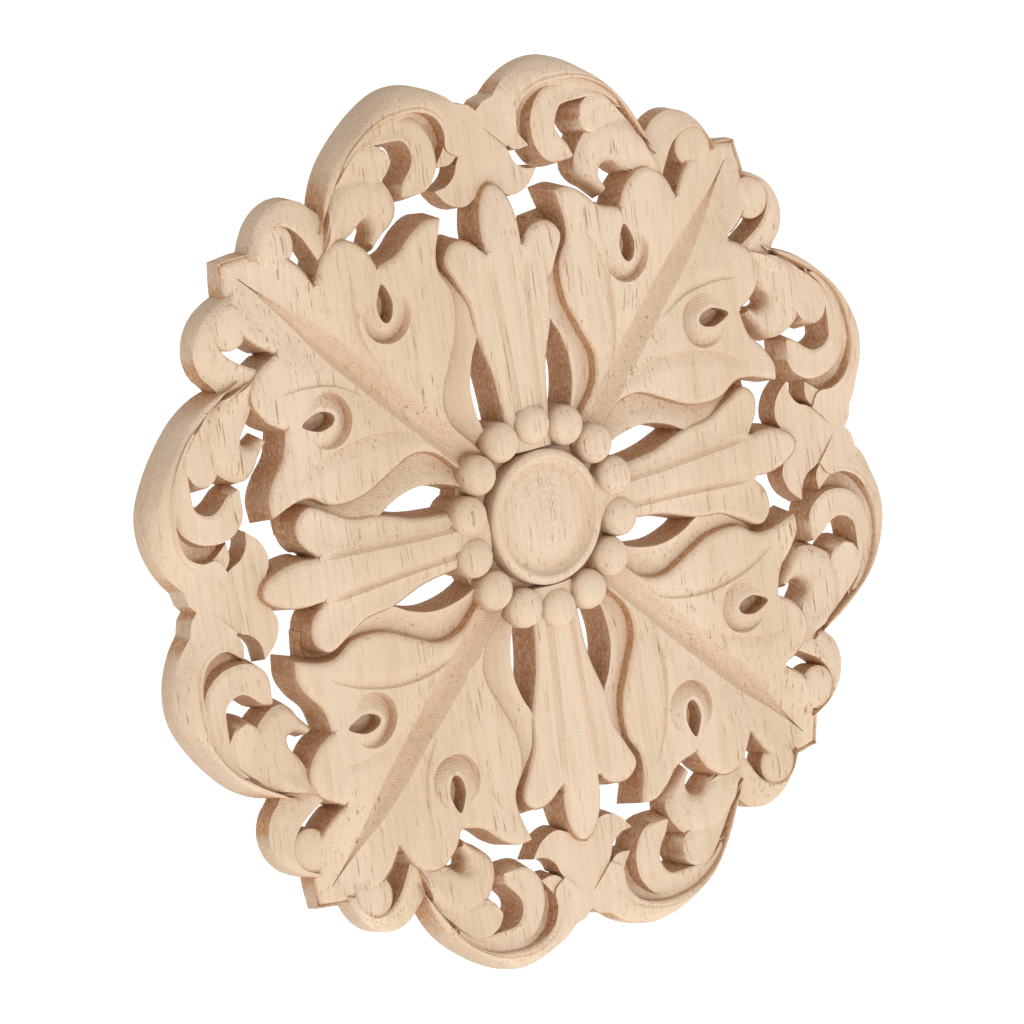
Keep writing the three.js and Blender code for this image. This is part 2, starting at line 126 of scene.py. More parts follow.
MIDDLE_OUTER = [(81, 37.6), (84.8, 34.8), (87.2, 32), (86.2, 28), (85.1, 26.4), (83.3, 25.6)]
TONGUELET_INNER = [(82.6, 38.4), (85.6, 34.4), (87, 30), (87.1, 26.6), (87.1, 23.8), (86.7, 21.2),
                   (84.6, 19.4), (81.9, 18.9), (79.5, 20), (77.3, 21.8), (75.1, 22.7)]
TONGUELET_OUTER = [(83.4, 36), (87, 32.6), (89.8, 28.2), (90.8, 24.8), (90.7, 20.9), (90, 17.8),
                   (88.2, 15.7), (85.7, 14.2), (83.1, 13.5), (79.8, 13.5), (77.5, 14.5), (75.6, 16.2),
                   (74.9, 18.2), (74.8, 20.5), (74.9, 22.5)]
GUTTER_INNER = [(83.6, 36.8), (86.6, 33.4), (88.6, 28.5), (89.2, 23), (88.6, 19), (86.6, 16.4),
                (83.6, 15.4), (80, 15.2)]
GUTTER_OUTER = [(85.8, 36.2), (88.4, 33), (91.4, 28.4), (92.9, 23), (93, 17), (91.6, 12.4), (89, 9.6),
                (85.6, 8), (80.6, 8.4)]
BAND_INNER = [(71, 45.4), (81, 39.6), (87.4, 34.2), (90.8, 28.4), (92, 22), (91.7, 16), (89.6, 11.5),
              (86, 9.4), (82.4, 9.2), (80.4, 6.4)]
RIM = [(73.4, 43.2), (76.2, 43), (80.2, 41.6), (84.6, 38.9), (89.6, 33.8), (93.4, 28.5), (96.1, 22.9),
       (96.7, 18.2), (95.8, 13), (93.4, 8), (90.3, 4.2), (86.8, 0)]
FOOT_EDGE = [
    [(92, 9), (89.4, 9.4), (86, 8.7), (82.6, 9.6), (79.4, 11.9)],
    [(79.4, 11.9), (79.2, 9.3), (80.6, 6.2)],
    [(80.6, 6.2), (76.1, 7.9), (74, 10.9), (73.8, 13.2)],
    [(73.8, 13.2), (70.9, 10.4), (69.7, 6.6), (71.2, 3.3), (73.6, -1)],
    [(73.6, -1), (87, -1), (90.2, 2)],
]
CURL_INNER = [(64.5, 45.6), (69.2, 48.1), (71.6, 49.6), (73.6, 51.6), (74.8, 53.8), (75, 57), (73, 60),
              (69.3, 62)]
CURL_OUTER = [(73.6, 42), (75.7, 45.1), (78, 47.7), (79.1, 51.5), (78.2, 55.6), (75.8, 58.9),
              (72.8, 60.9), (69.2, 62.4)]
LOWER_VEIN = [(25, 22.2), (33, 24.9), (43, 25.4), (53, 23.6), (61, 20.4)]
UPPER_VEIN = [(40, 35.8), (47, 40.2), (55, 41.6), (62, 40.8)]
# Where the trough starts and ends along the leaf's axis.
TROUGH = (19, 93)
# Centres with a radius, or with half a length and half a width.
BULB = (70.8, 56.5, 4.95)
EYE = (53.8, 32.8, 4.2, 2.1)
EYE_GROOVE = (51.2, 32.5, 6.1)
COLLAR = 0.9
# The sheets that cut a modelled top: their start and end along the axis, and half their width.
LEAF_SHEET = (15, 106, 46)
TONGUE_SHEET = (12, 76, 18)


def smooth(x, a, b):
    """0 up to a, 1 from b on, with an eased rise between them."""
    t = np.clip((x - a) / (b - a), 0, 1)
    return t * t * (3 - 2 * t)


def mix(a, b, t):
    return a + (b - a) * t


def flat(height):
    return lambda u, v: height


def steady(value):
    return lambda u: value + 0 * u


def spline(points, count):
    """Evenly spaced points, in millimetres, on a smooth curve through the given ones. Each stretch is a
    cubic whose slopes come from its neighbours, weighted so that uneven spacing gives no loops."""
    p = np.array(points, float) * SHARE
    p = np.vstack([2 * p[0] - p[1], p, 2 * p[-1] - p[-2]])
    line = []
    for a, b, c, d in zip(p, p[1:], p[2:], p[3:]):
        gaps = [math.sqrt(np.linalg.norm(v)) for v in (b - a, c - b, d - c)]
        s = ((b - a) / gaps[0] - (c - a) / (gaps[0] + gaps[1]) + (c - b) / gaps[1]) * gaps[1]
        e = ((c - b) / gaps[1] - (d - b) / (gaps[1] + gaps[2]) + (d - c) / gaps[2]) * gaps[1]
        t = np.linspace(0, 1, 60, endpoint=False)[:, None]
        line.append(b + s * t + (3 * (c - b) - 2 * s - e) * t ** 2 + (2 * (b - c) + s + e) * t ** 3)
    line = np.vstack([*line, p[-2]])
    run = np.concatenate([[0], np.cumsum(np.linalg.norm(np.diff(line, axis=0), axis=1))])
    at = np.linspace(0, run[-1], count + 1)
    return np.stack([np.interp(at, run, line[:, 0]), np.interp(at, run, line[:, 1])], 1)


def length(points):
    line = spline(points, 200)
    return float(np.linalg.norm(np.diff(line, axis=0), axis=1).sum())


def edge(rows):
    """Smooth stretches end to end, with the corners between them kept."""
    out = [spline(rows[0], max(1, round(length(rows[0]) / STEP)))]
    for row in rows[1:]:
        out.append(spline(row, max(1, round(length(row) / STEP)))[1:])
    return np.vstack(out)


def leans(outline, lean=LEAN):
    """How far each point of a closed outline may move outward per millimetre of lean."""
    after = np.roll(outline, -1, 0) - outline
    after /= np.maximum(np.linalg.norm(after, axis=1)[:, None], 1e-9)
    x, y = outline.T
    turn = 1 if (x * np.roll(y, -1) - np.roll(x, -1) * y).sum() > 0 else -1
    normal = np.stack([after[:, 1], -after[:, 0]], 1) * turn
    before = np.roll(normal, 1, 0)
    step = (before + normal) / np.maximum(1 + (before * normal).sum(1), 0.5)[:, None]
    a, b = outline, np.roll(outline, -1, 0)
    share = np.ones(len(outline))
    # A point that would land too near another stretch of the outline moves less. Five rounds settle it.
    for _ in range(5):
        moved = outline + step * (share * lean)[:, None]
        ab = b - a
        t = ((moved[:, None] - a) * ab).sum(2) / np.maximum((ab * ab).sum(1), 1e-12)
        near = a + np.clip(t, 0, 1)[:, :, None] * ab
        gap = np.linalg.norm(moved[:, None] - near, axis=2).min(1)
        share = np.where(gap < share * lean * 0.97, gap / lean * 0.9, share)
    return step * share[:, None]


def finished(bm, name):
    """Makes an object of a bmesh, in triangles with their faces out."""
    bmesh.ops.triangulate(bm, faces=bm.faces)
    bmesh.ops.recalc_face_normals(bm, faces=bm.faces)
    mesh = bpy.data.meshes.new(name)
    bm.to_mesh(mesh)
    bm.free()
    made = bpy.data.objects.new(name, mesh)
    bpy.context.scene.collection.objects.link(made)
    return made


def prism(outline, low, high, leaning=True, name="prism"):
    """A closed outline cut straight through the board, its wall leaning outward towards the back."""
    steps = leans(outline) if leaning else outline * 0
    bm = bmesh.new()
    top = [bm.verts.new((x, y, high)) for x, y in outline + steps * LEAN * (1 - high / LEAF)]
    face = bm.faces.new(top)
    made = bmesh.ops.extrude_face_region(bm, geom=[face])["geom"]
    fresh = [g for g in made if isinstance(g, bmesh.types.BMVert)]
    foot = outline + steps * LEAN * (1 - low / LEAF)
    lookup = {(round(v.co.x, 5), round(v.co.y, 5)): k for k, v in enumerate(top)}
    for v in fresh:
        k = lookup[(round(v.co.x, 5), round(v.co.y, 5))]
        v.co = (foot[k][0], foot[k][1], low)
    return finished(bm, name)


def block(along, across, plan, low, high, name="block"):
    """A grid mapped by u (along) and v (across), extruded into a closed block."""
    bm = bmesh.new()
    bmesh.ops.create_grid(bm, x_segments=along, y_segments=across, size=0.5)
    sheet = list(bm.verts)
    made = bmesh.ops.extrude_face_region(bm, geom=bm.faces[:])["geom"]
    fresh = [g for g in made if isinstance(g, bmesh.types.BMVert)]
    for verts, height in ((sheet, high), (fresh, low)):
        uv = np.clip([(v.co.x + 0.5, v.co.y + 0.5) for v in verts], 0, 1)
        z = np.broadcast_to(height(uv[:, 0], uv[:, 1]), len(uv))
        xy = plan(uv[:, 0], uv[:, 1], z)
        for v, (x, y), h in zip(verts, xy, z):
            v.co = (x, y, h)
    return finished(bm, name)


def band(inner, outer, top, across=8, name="band", lean=LEAN):
    """A strip between two drawn curves, from under the back up to a modelled top."""
    along = max(6, round(max(length(inner), length(outer)) / STEP))
    a, b = spline(inner, along), spline(outer, along)
    steps = leans(np.vstack([a, b[::-1]]), lean)
    side_a, side_b = steps[:along + 1], steps[along + 1:][::-1]

    def plan(u, v, z):
        i = np.rint(u * along).astype(int)
        out = (lean * (1 - z / LEAF))[:, None]
        p = a[i] + side_a[i] * out
        q = b[i] + side_b[i] * out
        return mix(p, q, v[:, None])

    return block(along, across, plan, flat(-WASTE), top, name)


def cutter(along, across, plan, surface, depth, name):
    """A block that takes away all that is above a surface, or further down by depth(u, v)."""
    def low(u, v):
        x, y = plan(u, v).T
        return surface(x, y) - depth(u, v)

    return block(along, across, plan, low, flat(SKY), name)


def bowl(v):
    return 1 - (2 * v - 1) ** 2


def groove(line, across, width, surface, depth, section=bowl, name="groove"):
    """A cutter that leaves a groove along a line, with its section as a function of v."""
    along = len(line) - 1
    tangent = np.gradient(line, axis=0)
    tangent /= np.linalg.norm(tangent, axis=1)[:, None]

    def plan(u, v, z=None):
        i = np.rint(u * along).astype(int)
        offset = (v - 0.5) * 2 * width(u)
        side = np.stack([-tangent[i, 1], tangent[i, 0]], 1)
        return line[i] + side * offset[:, None]

    return cutter(along, across, plan, surface, lambda u, v: depth(u) * section(v) - SKIN, name)


def rounding(row, surface, width=1.3, fall=0.9, step=0.9):
    """A cutter that rounds the top edge along one smooth stretch of an outline."""
    line = spline(row, max(4, round(length(row) / step)))

    def section(v):
        inward = np.clip(np.abs(v - 0.5) * 2, 0, 1)
        return np.clip(1 - np.sqrt(np.clip(1 - (1 - inward) ** 2, 0, 1)), 0, 1)

    return groove(line, 10, steady(width), surface, steady(fall), section, "rounding")


def soft(v, fall=0.45, share=0.16):
    """The roll-off of a band's top near its two edges."""
    near = np.clip(np.minimum(v, 1 - v) / share, 0, 1)
    return fall * (1 - near) ** 2


def turned(profile, steps, centre, name):
    """A closed round body from a half section of radius and height."""
    bm = bmesh.new()
    verts = [bm.verts.new((x, 0, z)) for x, z in profile]
    for a, b in zip(verts, verts[1:]):
        bm.edges.new((a, b))
    bmesh.ops.spin(bm, geom=bm.verts[:] + bm.edges[:], axis=(0, 0, 1), cent=(0, 0, 0), steps=steps,
                   angle=2 * math.pi, use_merge=True)
    bmesh.ops.remove_doubles(bm, verts=bm.verts, dist=1e-4)
    bmesh.ops.translate(bm, verts=bm.verts, vec=centre)
    return finished(bm, name)


def joined(bodies, operation="UNION", target=None):
    """One boolean over several solids, applied to the mesh."""
    bodies = list(bodies)
    if target is None:
        target, bodies = bodies[0], bodies[1:]
    group = bpy.data.collections.new("operands")
    bpy.context.scene.collection.children.link(group)
    for body in bodies:
        group.objects.link(body)
    cut = target.modifiers.new("join", "BOOLEAN")
    cut.operation = operation
    cut.solver = "MANIFOLD"
    cut.operand_type = "COLLECTION"
    cut.collection = group
    bpy.context.view_layer.update()
    graph = bpy.context.evaluated_depsgraph_get()
    result = bpy.data.meshes.new_from_object(target.evaluated_get(graph))
    target.modifiers.clear()
    target.data = result
    for body in bodies:
        bpy.data.objects.remove(body)
    bpy.data.collections.remove(group)
    return target


def copy(body, matrix):
    """A copy of a body, moved or mirrored in its mesh."""
    mesh = body.data.copy()
    mesh.transform(matrix)
    if matrix.determinant() < 0:
        mesh.flip_normals()
    made = bpy.data.objects.new(body.name, mesh)
    bpy.context.scene.collection.objects.link(made)
    return made


SWAP = Matrix(((0, 1, 0, 0), (1, 0, 0, 0), (0, 0, 1, 0), (0, 0, 0, 1)))
FLIP = Matrix(((1, 0, 0, 0), (0, -1, 0, 0), (0, 0, 1, 0), (0, 0, 0, 1)))
TURN = Matrix(((0, -1, 0, 0), (1, 0, 0, 0), (0, 0, 1, 0), (0, 0, 0, 1)))


def leaf_height(x, y):
    """The leaf's modelled top: halves that fall to the trough, a drooping point, raised side tips."""
    dip_width, lift_radius = 11 * SHARE, 13 * SHARE
    along = (x + y) / math.sqrt(2) / RADIUS
    aside = np.abs(y - x) / math.sqrt(2)
    fall = LEAF_DIP * smooth(along, 0.2, 0.6) * (1 - smooth(aside, 0, dip_width))
    near, far = np.minimum(x, y), np.maximum(x, y)
    tip = np.hypot(far - SIDE_TIP[0] * SHARE, near - SIDE_TIP[1] * SHARE)
    lift = SIDE_TIP_LIFT * (1 - smooth(tip, 0, lift_radius))
    return LEAF - fall - LEAF_DROOP * smooth(along, 0.72, 1.02) + lift


def leaf():
    """A pointed leaf: half of its outline is drawn, and the other half is its mirror image."""
    half = edge(LEAF_EDGE)
    outline = np.vstack([half, half[:-1, ::-1][::-1]])
    body = prism(outline, -WASTE, BLANK, name="leaf")
    start, end, half_width = LEAF_SHEET

    def plan(u, v, z=None):
        along, aside = mix(start, end, u) * SHARE, (v - 0.5) * 2 * half_width * SHARE
        return np.stack([(along - aside) / math.sqrt(2), (along + aside) / math.sqrt(2)], 1)

    sky = cutter(72, 72, plan, leaf_height, flat(0), "leaf sky")
    cuts = [*eye(), *veins(), *[rounding(row, leaf_height) for row in LEAF_EDGE]]
    cuts += [copy(cut, SWAP) for cut in cuts]
    return joined([sky, trough(), *cuts], "DIFFERENCE", body)


def trough():
    """The leaf's middle groove, which narrows and runs out towards the point."""
    reach = np.linspace(*TROUGH, 60) * SHARE / math.sqrt(2)
    line = np.stack([reach, reach], 1)

    def taper(u):
        return np.maximum(0.03, mix(1, 0.72, u) * (1 - smooth(u, 0.62, 1.02)))

    def width(u):
        return TROUGH_HALF * taper(u)

    def depth(u):
        return TROUGH_DEPTH * (0.15 + 0.85 * taper(u))

    def section(v):
        return np.sin(math.pi * v) ** 1.3

    return groove(line, 8, width, leaf_height, depth, section, "trough")


def veins():
    """Two shallow steps in the leaf, each steep on one side and fading at both ends."""
    def fade(u):
        return np.sin(math.pi * np.clip(u, 0, 1)) ** 0.5

    def slope(v):
        return np.where(v < 0.9, v / 0.9, 0)

    lower = groove(spline(LOWER_VEIN, 60), 8, lambda u: 0.5 + 0.9 * fade(u), leaf_height,
                   lambda u: 0.65 * fade(u), slope, "lower vein")
    upper = groove(spline(UPPER_VEIN, 40), 8, lambda u: 0.4 + 0.7 * fade(u), leaf_height,
                   lambda u: 0.5 * fade(u), lambda v: slope(1 - v), "upper vein")
    return [lower, upper]


def eye():
    """A drop-shaped pit with a thin collar, and a round groove about it that fades at the point."""
    x, y, reach, width = EYE
    centre_x, centre_y, radius = EYE_GROOVE
    # The groove starts and ends short of the drop's point, in half turns.
    first, last = 0.28, 1.72
    # Share of the groove's width that its steep outer side takes.
    steep = 0.2

    def drop(turn, grow):
        pinch = np.sin(turn) * (1 - 0.45 * np.maximum(0, np.cos(turn)))
        return np.stack([x + (reach + grow) * np.cos(turn), y + (width + grow) * pinch], -1) * SHARE

    pit = prism(drop(np.linspace(0, 2 * math.pi, 36, endpoint=False), 0), LEAF - PIT_DEPTH, SKY, False,
                "eye pit")

    def plan(u, v, z=None):
        turn = mix(first, last, u) * math.pi
        ring = np.stack([centre_x + radius * np.cos(turn), centre_y + radius * np.sin(turn)], -1) * SHARE
        return mix(ring, drop(turn, COLLAR), v[:, None])

    def depth(u, v):
        fade = np.sin(math.pi * np.clip(u, 0, 1)) ** 0.8
        section = np.clip(np.minimum(v / steep, (1 - v) / (1 - steep)), 0, 1)
        return EYE_GROOVE_DEPTH * fade * section - SKIN

    return [pit, cutter(56, 16, plan, leaf_height, depth, "eye groove")]


def tongue():
    """Three lobes: a crown between two creases, hollows beside them and a tip that droops."""
    half = edge(TONGUE_EDGE)
    outline = np.vstack([half, (half[:-1] * (1, -1))[::-1]])
    body = prism(outline, -WASTE, BLANK, name="tongue")
    start, end, half_width = TONGUE_SHEET
    droop_start, droop_length = 57, 19

    def plan(u, v, z=None):
        return np.stack([mix(start, end, u) * SHARE, (v - 0.5) * 2 * half_width * SHARE], 1)

    def surface(x, y):
        x, y = x / SHARE, np.abs(y) / SHARE
        crease = np.interp(x, *zip(*CREASE))
        crown = TONGUE_CROWN * (1 - np.clip(y / crease, 0, 1) ** 2)
        hollow = TONGUE_HOLLOW * smooth(y / crease, 1, 1.6) * (1 - smooth(y / crease, 2, 3.4))
        droop = TONGUE_DROOP * np.clip((x - droop_start) / droop_length, 0, 1) ** 1.6
        return TONGUE + crown - hollow - droop

    sky = cutter(50, 30, plan, surface, flat(0), "tongue sky")
    crease = groove(spline(CREASE, 40), 4, steady(CREASE_HALF), lambda x, y: TONGUE + 0 * x,
                    lambda u: CREASE_DEPTH * (1 - smooth(u, 0.85, 1)), name="crease")
    cuts = [crease, *[rounding(row, surface) for row in TONGUE_EDGE]]
    return joined([sky, *cuts, *[copy(cut, FLIP) for cut in cuts]], "DIFFERENCE", body)


def strap():
    """The low strap along a leaf's long edge, hollow towards the leaf and falling at its end."""
    def top(u, v):
        hollow = mix(LEAF, STRAP_LOW, 1 - (1 - np.clip(v * 1.6, 0, 1)) ** 1.6)
        return hollow - soft(np.minimum(v, 0.5), 0.5, 0.2) - STRAP_END_FALL * smooth(u, 0.84, 1)

    return band(STRAP_INNER, STRAP_OUTER, top, 12, name="strap")


def scroll():
    """A big scroll: one smooth root that parts into a hook, a middle lobe, a tonguelet and an outer band.
    Heights are shares of the scroll's own, along (u) from the root and across (v) towards the rim."""
    high = SCROLL

    # The root is crowned: it rises from the hook's side to the middle and falls to the rim.
    def fan_top(u, v):
        rise = mix(high * 0.78, FAN, smooth(v, 0, 0.5))
        fall = (FAN - RIM_WALL) * np.clip((v - 0.5) / 0.5, 0, 1) ** 1.8
        return rise - fall - FAN_FALL * u ** 2

    # The hook and the middle lobe are nearly level, one sinking and one rising towards its end.
    def hook_top(u, v):
        slope = high * (mix(0.72, 0.52, smooth(u, 0.45, 1)) + 0.1 * v * (1 - u))
        return slope + 0.3 * np.sin(math.pi * v) - soft(v, 0.8, 0.25)

    def middle_top(u, v):
        slope = high * (mix(0.66, 0.86, u) + 0.06 * v)
        return slope - 0.2 * np.sin(math.pi * v) - soft(v)

    # The tonguelet rises out of the root, tilts towards the gutter and sinks where it curls in.
    def tonguelet_top(u, v):
        rise = mix(0.72, 0.86, smooth(u, 0, 0.35)) - 0.1 * smooth(u, 0.6, 1)
        tilt = 0.1 * v * smooth(u, 0.1, 0.5) * (1 - smooth(u, 0.6, 0.8))
        return high * (rise - tilt) - 0.25 * np.sin(math.pi * v) - soft(v)

    def gutter_top(u, v):
        return mix(high * 0.78, RECESS_FLOOR, smooth(u, 0.45, 0.85))

    # The outer band falls from a ridge on its inner side to the rim, with one fine line along the ridge
    # and a hollow roll before the rim. At its end it sinks to the foot.
    def outer_top(u, v):
        ridge = high * (mix(0.8, 1, smooth(u, 0.1, 0.45)) - 0.34 * smooth(u, 0.6, 0.95))
        rim = RIM_WALL * mix(1.1, 0.98, smooth(u, 0.6, 1))
        line = 0.35 * np.exp(-((v - 0.22) / 0.07) ** 2) * smooth(u, 0.15, 0.35) * (1 - smooth(u, 0.75, 0.95))
        roll = 1.6 * np.clip((v - 0.55) / 0.45, 0, 1) ** 2.5 * (1 - smooth(u, 0.7, 0.88))
        edge_roll = soft(np.minimum(v, 0.5), 0.5, 0.12) * (1 - smooth(u, 0.7, 0.9))
        return mix(ridge, rim, v ** 2) - line - roll - edge_roll

    # The root's outer side runs just inside the rim, a little further in at each point.
    root = [(x - 0.8 - 0.5 * i, y - 0.8) for i, (x, y) in enumerate(RIM[:5])]
    fan = band(HOOK_INNER[:3], root, fan_top, 16, name="scroll root")
    hook = band(HOOK_INNER, HOOK_OUTER, hook_top, 10, name="hook", lean=DEEP_LEAN)
    middle = band(MIDDLE_INNER, MIDDLE_OUTER, middle_top, name="middle", lean=DEEP_LEAN)
    tonguelet = band(TONGUELET_INNER, TONGUELET_OUTER, tonguelet_top, 10, name="tonguelet", lean=DEEP_LEAN)
    gutter = band(GUTTER_INNER, GUTTER_OUTER, gutter_top, 6, name="gutter")
    outer = band(BAND_INNER, RIM, outer_top, 18, name="outer")
    foot = prism(edge(FOOT_EDGE), -WASTE, RIM_WALL * 1.04, name="foot")
    return [fan, hook, middle, tonguelet, gutter, outer, foot]


def curl():
    """A small curl: a ring that winds round to a domed bulb."""
    ring = band(CURL_INNER, CURL_OUTER, lambda u, v: mix(CURL, RIM_WALL, v ** 1.4) - soft(v), 10, name="curl")
    x, y, radius = BULB
    r = radius * SHARE
    rise = np.linspace(0, math.pi / 2, 8)
    profile = [(0, -WASTE), (r, -WASTE)]
    profile += [(r * math.cos(a), BULB_TOP * (0.8 + 0.2 * math.sin(a))) for a in rise]
    return [ring, turned(profile, 40, (x * SHARE, y * SHARE, 0), "bulb")]


def button():
    """A raised ring round a shallow dome with a few concentric ripples."""
    r, top, floor = BUTTON_RADIUS, BUTTON_TOP, BUTTON_TOP - BUTTON_GROOVE
    inner = r - BUTTON_RING
    profile = [(0, -WASTE), (r, -WASTE), (r, top - 0.9), (r - 0.25, top - 0.35), (r - 0.7, top - 0.05),
               (r - 1.1, top), (r - 1.5, top - 0.2), (r - 2.0, floor + 0.3), (inner, floor)]
    for t in np.linspace(0.04, 1, 29):
        dome = 0.8 * BUTTON_GROOVE * (1 - (1 - t) ** 2)
        profile.append((inner * (1 - t), floor + dome + RIPPLE * math.cos(t * RIPPLES * 2 * math.pi)))
    return turned(profile, 64, (0, 0, 0), "button")


def beads():
    """A bead is a peg with steep sides and a flattish dome, on a round floor that all of them share."""
    reach = BEAD_RING + BEAD_RADIUS * 0.5
    floor = turned([(0, -WASTE), (reach, -WASTE), (reach, BASE), (0, BASE)], 72, (0, 0, 0), "bead floor")
    peg = [(0, -WASTE), (BEAD_RADIUS, -WASTE)]
    peg += [(BEAD_RADIUS * math.cos(a) ** 0.75, BEAD_TOP - BEAD_DOME * (1 - math.sin(a) ** 0.9))
            for a in np.linspace(0, math.pi / 2, 10)]
    made = [floor]
    for i in range(BEADS):
        a = (i + 0.5) / BEADS * 2 * math.pi
        made.append(turned(peg, 20, (BEAD_RING * math.cos(a), BEAD_RING * math.sin(a), 0), "bead"))
    return made


def rosette():
    """One quarter, turned three times, joined to the middle and cut flat at the back."""
    eighth = [strap(), *scroll(), *curl()]
    quarters = [joined([leaf(), tongue(), *eighth, *[copy(body, SWAP) for body in eighth]])]
    for _ in range(3):
        quarters.append(copy(quarters[-1], TURN))
    floor, *pegs = beads()
    whole = joined([*quarters, floor, button(), *pegs])
    waste = block(1, 1, lambda u, v, z: np.stack([(u - 0.5) * PLATE, (v - 0.5) * PLATE], 1),
                  flat(-2 * WASTE), flat(0.0), "waste")
    return joined([waste], "DIFFERENCE", whole)


def upright(body):
    """Turns the carving to face -Y, scales it to metres, and merges the points that booleans left."""
    mesh = body.data
    mesh.transform(Matrix.Rotation(math.pi / 2, 4, "X"))
    mesh.transform(Matrix.Scale(0.001, 4))
    bm = bmesh.new()
    bm.from_mesh(mesh)
    bmesh.ops.remove_doubles(bm, verts=bm.verts, dist=2e-6)
    bmesh.ops.dissolve_degenerate(bm, edges=bm.edges, dist=2e-6)
    bmesh.ops.triangulate(bm, faces=bm.faces)
    bmesh.ops.recalc_face_normals(bm, faces=bm.faces)
    bm.to_mesh(mesh)
    bm.free()
    mesh.polygons.foreach_set("use_smooth", [True] * len(mesh.polygons))
    mesh.set_sharp_from_angle(angle=math.radians(32))
    return mesh


def linear(code):
    """An sRGB hex colour as linear values."""
    parts = [int(code[i:i + 2], 16) / 255 for i in (1, 3, 5)]
    return (*[c / 12.92 if c <= 0.04045 else ((c + 0.055) / 1.055) ** 2.4 for c in parts], 1)


def node(tree, kind, inputs=None, **settings):
    """Adds a node, sets its properties and plain inputs, and links the inputs that are given a socket."""
    made = tree.nodes.new(kind)
    for key, value in settings.items():
        setattr(made, key, value)
    for key, value in (inputs or {}).items():
        socket = made.inputs[key]
        if isinstance(value, bpy.types.NodeSocket):
            tree.links.new(value, socket)
        else:
            socket.default_value = value
    return made


